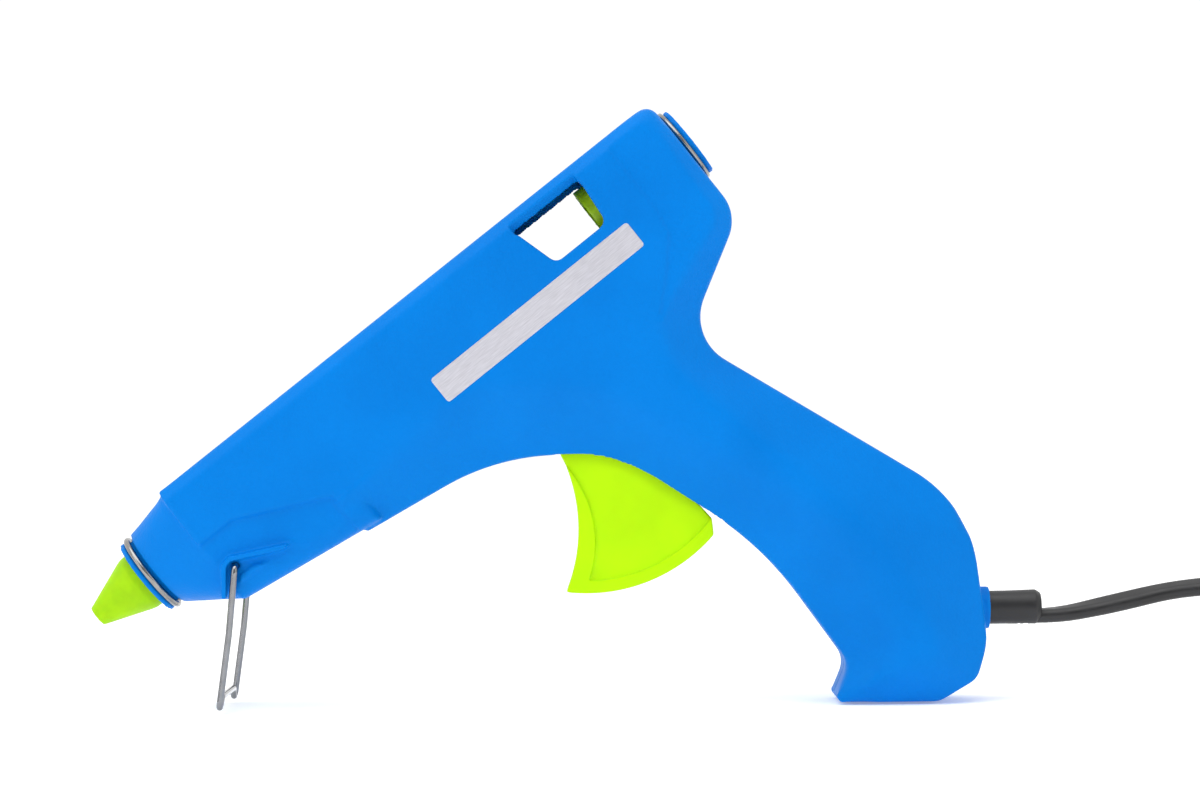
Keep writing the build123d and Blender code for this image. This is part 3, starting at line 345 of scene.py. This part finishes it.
def satin_label():
    """Thin anodised plate, brushed along its length."""
    made = new_material("satin_label", (206, 205, 212), 0.36, metallic=0.4)
    tilt = add_node(made, "ShaderNodeMapping", Vector=place_socket(made), Rotation=(0, math.radians(38.1), 0))
    brushed = add_node(made, "ShaderNodeMapping", Vector=tilt.outputs["Vector"], Scale=(1, 14, 14))
    streaks = add_node(made, "ShaderNodeTexNoise", Vector=brushed.outputs["Vector"], Scale=330, Detail=5.0)
    ramp = add_node(made, "ShaderNodeValToRGB", Fac=streaks.outputs["Fac"])
    ramp.color_ramp.elements[0].position = 0.3
    ramp.color_ramp.elements[1].position = 0.72
    ramp.color_ramp.elements[0].color = (*linear((188, 187, 195)), 1)
    ramp.color_ramp.elements[1].color = (*linear((210, 209, 217)), 1)
    shader = made.node_tree.nodes["Principled BSDF"]
    made.node_tree.links.new(ramp.outputs["Color"], shader.inputs["Base Color"])
    vary_roughness(made, 7, 0.32, 0.42)
    relief(made, [(streaks.outputs["Fac"], 0.008, 0.25)])
    return made


def black_pvc():
    """Soft PVC of the cord, strain relief and plug."""
    made = new_material("black_pvc", (22, 22, 23), 0.42, Specular_IOR_Level=0.5)
    mottle(made, 6, (19, 19, 20), (28, 28, 30))
    vary_roughness(made, 3, 0.36, 0.5)
    relief(made, [(noise(made, 0.4, 2.0), 0.02, 0.35)])
    return made


def plain(name, colour, roughness):
    """Material of a hidden piece, still with its own colour variation and grain."""
    made = new_material(name, colour, roughness)
    mottle(made, 3, [value * 0.9 for value in colour], [min(255, value * 1.06) for value in colour])
    vary_roughness(made, 1.5, roughness - 0.06, roughness + 0.08)
    relief(made, [(noise(made, 0.5), 0.02, 0.35)])
    return made


FINISHES = {
    "housing_plastic": housing_blue(),
    "trigger_plastic": trigger_lime(),
    "guide_plastic": plain("guide_lime", (176, 226, 6), 0.38),
    "cover_silicone": cover_silicone(),
    "sleeve_silicone": plain("sleeve_silicone", (196, 92, 52), 0.6),
    "ring_steel": steel("ring_steel", (152, 150, 147), 0.12, 0.24),
    "stand_chrome": steel("stand_chrome", (138, 139, 142), 0.04, 0.1),
    "label_metal": satin_label(),
    "screw_steel": steel("screw_steel", (170, 171, 175), 0.25, 0.4),
    "pin_steel": steel("pin_steel", (178, 178, 180), 0.2, 0.32),
    "spring_steel": steel("spring_steel", (140, 141, 145), 0.28, 0.4),
    "nozzle_brass": steel("nozzle_brass", (205, 168, 96), 0.2, 0.34),
    "chamber_aluminium": steel("chamber_aluminium", (186, 187, 188), 0.4, 0.55),
    "ceramic": plain("ceramic", (196, 194, 186), 0.7),
    "electrode": steel("electrode", (200, 200, 202), 0.25, 0.35),
    "film": plain("film", (196, 128, 36), 0.25),
    "lead_insulation": plain("lead_insulation", (224, 222, 214), 0.5),
    "black_pvc": black_pvc(),
    "clamp_plastic": plain("clamp_plastic", (96, 96, 96), 0.5),
    "plug_nickel": steel("plug_nickel", (208, 205, 196), 0.12, 0.22),
}
SLOT_OF = {part["node"]: part["material_slot"] for part in frame["record"]["subparts"]}

for node_name, node in nodes.items():
    node.data.materials.clear()
    node.data.materials.append(FINISHES[SLOT_OF[node_name]])
flex.data.materials.append(FINISHES["black_pvc"])
tie.data.materials.append(FINISHES["black_pvc"])


# ---------------------------------------------------------------- shells and moulded pieces
def evaluated_mesh(piece):
    """The piece's mesh with its modifiers applied."""
    graph = bpy.context.evaluated_depsgraph_get()
    return bpy.data.meshes.new_from_object(piece.evaluated_get(graph), depsgraph=graph)


def welded_copy(node_name):
    """A copy of a node's mesh with shared corners joined."""
    shape = bmesh.new()
    shape.from_mesh(nodes[node_name].data)
    bmesh.ops.remove_doubles(shape, verts=shape.verts, dist=0.001 * MM)
    return shape


def points_on(edge, spacing):
    """Points along an edge, no further apart than the spacing."""
    first, second = edge.verts[0].co, edge.verts[1].co
    count = max(1, math.ceil((second - first).length / spacing))
    return [first.lerp(second, step / count) for step in range(count + 1)]


def tree_of(points):
    tree = KDTree(max(1, len(points)))
    for number, point in enumerate(points):
        tree.insert(point, number)
    tree.balance()
    return tree


def distances(tree, places, count):
    """Distance of each place from the nearest point, or a metre if there is no point."""
    if not count:
        return np.ones(len(places))
    return np.array([tree.find(place)[2] for place in places])


def smooth_step(values, low, high):
    share = np.clip((values - low) / (high - low), 0, 1)
    return share * share * (3 - 2 * share)


CREASE = (9, 38)            # degrees between faces: creases that the moulding blends widely
RIDGE = (38, 74)            # steeper edges, blended less; anything steeper stays crisp


def blend_weights(shape, places, reach):
    """How far each place is blended: 1 on a crease, less on a ridge, none beside a crisp edge."""
    creases, ridges, crisp = [], [], []
    for edge in shape.edges:
        if len(edge.link_faces) != 2:
            continue
        angle = math.degrees(edge.calc_face_angle(0))
        if angle > RIDGE[1]:
            crisp += points_on(edge, 0.8 * MM)
        elif angle > RIDGE[0]:
            ridges += points_on(edge, 0.8 * MM)
        elif angle > CREASE[0]:
            creases += points_on(edge, 0.8 * MM)
    weights = np.zeros(len(places))
    for points, strength in ((creases, 1.0), (ridges, 0.16)):
        near = distances(tree_of(points), places, len(points))
        weights = np.maximum(weights, strength * (1 - smooth_step(near, 0.25 * reach, reach)))
    away = distances(tree_of(crisp), places, len(crisp))
    return weights * smooth_step(away, 0.8 * MM, 3.0 * MM)


def relax(places, edges, weights, rounds):
    """Moves each place towards the middle of its neighbours, by its weight, so many times."""
    count = len(places)
    first, second = edges[:, 0], edges[:, 1]
    links = np.bincount(first, minlength=count) + np.bincount(second, minlength=count)
    share = (0.5 * weights / np.maximum(links, 1))[:, None]
    for _ in range(rounds):
        total = np.empty_like(places)
        for axis in range(3):
            values = places[:, axis]
            total[:, axis] = (np.bincount(first, values[second], count)
                              + np.bincount(second, values[first], count))
        places = places + share * (total - links[:, None] * places)
    return places


BARREL_FOOT = mm(-177.1, 0, 20.55)          # nozzle tip, on the barrel's axis
BARREL_TILT = math.radians(38.1)
LIP = 0.45                  # millimetres that the body stands proud of the front section's rear edge
LIP_TOP = (-13.7, 58.3)     # upper end of that edge: height above the axis, distance along it
LIP_SLOPE = 0.06            # how far the edge leans back per millimetre down


def raise_lip(places):
    """Stands the body proud of the front section along its short rear edge, under the barrel."""
    run, rise = places[:, 0] - BARREL_FOOT.x, places[:, 2] - BARREL_FOOT.z
    along = (run * math.cos(BARREL_TILT) + rise * math.sin(BARREL_TILT)) / MM
    above = (rise * math.cos(BARREL_TILT) - run * math.sin(BARREL_TILT)) / MM
    edge = LIP_TOP[1] - LIP_SLOPE * (above - LIP_TOP[0])
    share = smooth_step(along, edge, edge + 0.5) * (1 - smooth_step(along, edge + 3, edge + 16))
    share *= 1 - smooth_step(above, LIP_TOP[0] - 0.2, LIP_TOP[0] + 0.6)
    share *= smooth_step(np.abs(places[:, 1]) / MM, 8.0, 11.0)
    places[:, 1] += np.sign(places[:, 1]) * LIP * MM * share
    return places


def moulded(name, node_name, voxel, edge_rounds=5, crease_reach=0.0, crease_rounds=0):
    """A node's shape with rounded edges and blended creases, standing for the node.

    voxel and crease_reach are in millimetres."""
    shape = welded_copy(node_name)
    rough = bpy.data.meshes.new(name + "_rough")
    shape.to_mesh(rough)
    piece = link(bpy.data.objects.new(name, rough))
    remesh = piece.modifiers.new("remesh", "REMESH")
    remesh.mode = "VOXEL"
    remesh.voxel_size = voxel * MM
    mesh = evaluated_mesh(piece)
    piece.modifiers.clear()
    piece.data = mesh
    count = len(mesh.vertices)
    flat = np.empty(count * 3)
    mesh.vertices.foreach_get("co", flat)
    places = flat.reshape(-1, 3)
    ends = np.empty(len(mesh.edges) * 2, np.int32)
    mesh.edges.foreach_get("vertices", ends)
    edges = ends.reshape(-1, 2)
    places = relax(places, edges, np.ones(count), edge_rounds)
    if crease_rounds:
        weights = blend_weights(shape, places, crease_reach * MM)
        places = raise_lip(relax(places, edges, weights, crease_rounds))
    shape.free()
    mesh.vertices.foreach_set("co", places.ravel())
    mesh.materials.clear()
    mesh.materials.append(FINISHES[SLOT_OF[node_name]])
    mesh.shade_smooth()
    mesh.update()
    bpy.data.meshes.remove(rough)
    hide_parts(node_name)
    return piece


for side in ("left", "right"):
    shell = moulded(side + "_housing", side + "_shell", 0.4, 2, crease_reach=5.0, crease_rounds=90)
    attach(shell, "housing")
finer = {}                  # the other pieces, by name
for name, node_name, body, voxel, edge_rounds in (
    ("lime_trigger", "trigger", "trigger", 0.25, 3),
    ("nozzle_cap", "nozzle_cover", "housing", 0.22, 4),
    ("inlet_tube", "inlet_guide", "housing", 0.25, 3),
    ("front_circlip", "front_ring", "housing", 0.1, 2),
    ("rear_circlip", "rear_ring", "housing", 0.1, 2),
    ("stand_wire", "wire_stand", "stand", 0.11, 3),
    ("cord_boot", "strain_relief", "housing", 0.16, 4),
    ("near_label", "left_label", "housing", 0.12, 1),
    ("far_label", "right_label", "housing", 0.12, 1),
    ("plug_moulding", "plug_body", "housing", 0.4, 5),
    ("plug_prongs", "plug_pins", "housing", 0.2, 3),
):
    finer[name] = moulded(name, node_name, voxel, edge_rounds)
    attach(finer[name], body)

bpy.context.scene.view_settings.view_transform = "Standard"

# ---------------------------------------------------------------- stage
SHEET_LOW = -0.0005         # top of the floor, just under the gun


def floor_sheet():
    """White paper under the gun, open on every side and faintly luminous so that its far edge melts away."""
    shape = bmesh.new()
    reach = 3.0
    corners = [(-reach, -reach), (reach, -reach), (reach, reach), (-reach, reach)]
    shape.faces.new([shape.verts.new((x, y, SHEET_LOW)) for x, y in corners])
    mesh = bpy.data.meshes.new("floor_sheet")
    shape.to_mesh(mesh)
    shape.free()
    paper = new_material("paper", (250, 250, 250), 0.9, Emission_Color=(1, 1, 1, 1), Emission_Strength=0.25)
    mottle(paper, 60, (248, 248, 248), (252, 252, 252))
    mesh.materials.append(paper)
    sheet = link(bpy.data.objects.new("floor_sheet", mesh))


def softbox(name, place, size, watts):
    """A rectangular lamp turned towards the middle of the gun."""
    light = bpy.data.lights.new(name, "AREA")
    light.shape = "RECTANGLE"
    light.size, light.size_y = size
    light.energy = watts
    lamp = link(bpy.data.objects.new(name, light))
    lamp.location = place
    lamp.rotation_euler = (Vector(MIDDLE) - Vector(place)).to_track_quat("-Z", "Y").to_euler()


floor_sheet()
MIDDLE = (-0.06, 0, 0.06)
softbox("top_light", (-0.25, -0.35, 1.1), (1.2, 1.0), 7.5)
softbox("left_light", (-1.0, -0.75, 0.5), (0.8, 1.0), 3.0)
softbox("right_light", (0.95, -0.85, 0.45), (0.8, 1.0), 2.2)



def studio_room():
    """Bright surroundings behind the gun and dimmer ones behind the camera, for the chrome's dark lines."""
    world = bpy.data.worlds.new("studio")
    world.use_nodes = True
    tree = world.node_tree
    background = tree.nodes["Background"]
    background.inputs["Strength"].default_value = 1.0
    facing = tree.nodes.new("ShaderNodeTexCoord")
    axes = tree.nodes.new("ShaderNodeSeparateXYZ")
    spread = tree.nodes.new("ShaderNodeMapRange")
    spread.inputs["From Min"].default_value = -1
    spread.inputs["From Max"].default_value = 1
    shades = tree.nodes.new("ShaderNodeValToRGB")
    dim, bright = shades.color_ramp.elements
    dim.position, bright.position = 0.12, 0.5
    dim.color = (0.4, 0.4, 0.405, 1)
    bright.color = (1.05, 1.05, 1.05, 1)
    tree.links.new(facing.outputs["Generated"], axes.inputs["Vector"])
    tree.links.new(axes.outputs["Y"], spread.inputs["Value"])
    tree.links.new(spread.outputs["Result"], shades.inputs["Fac"])
    tree.links.new(shades.outputs["Color"], background.inputs["Color"])
    bpy.context.scene.world = world


studio_room()
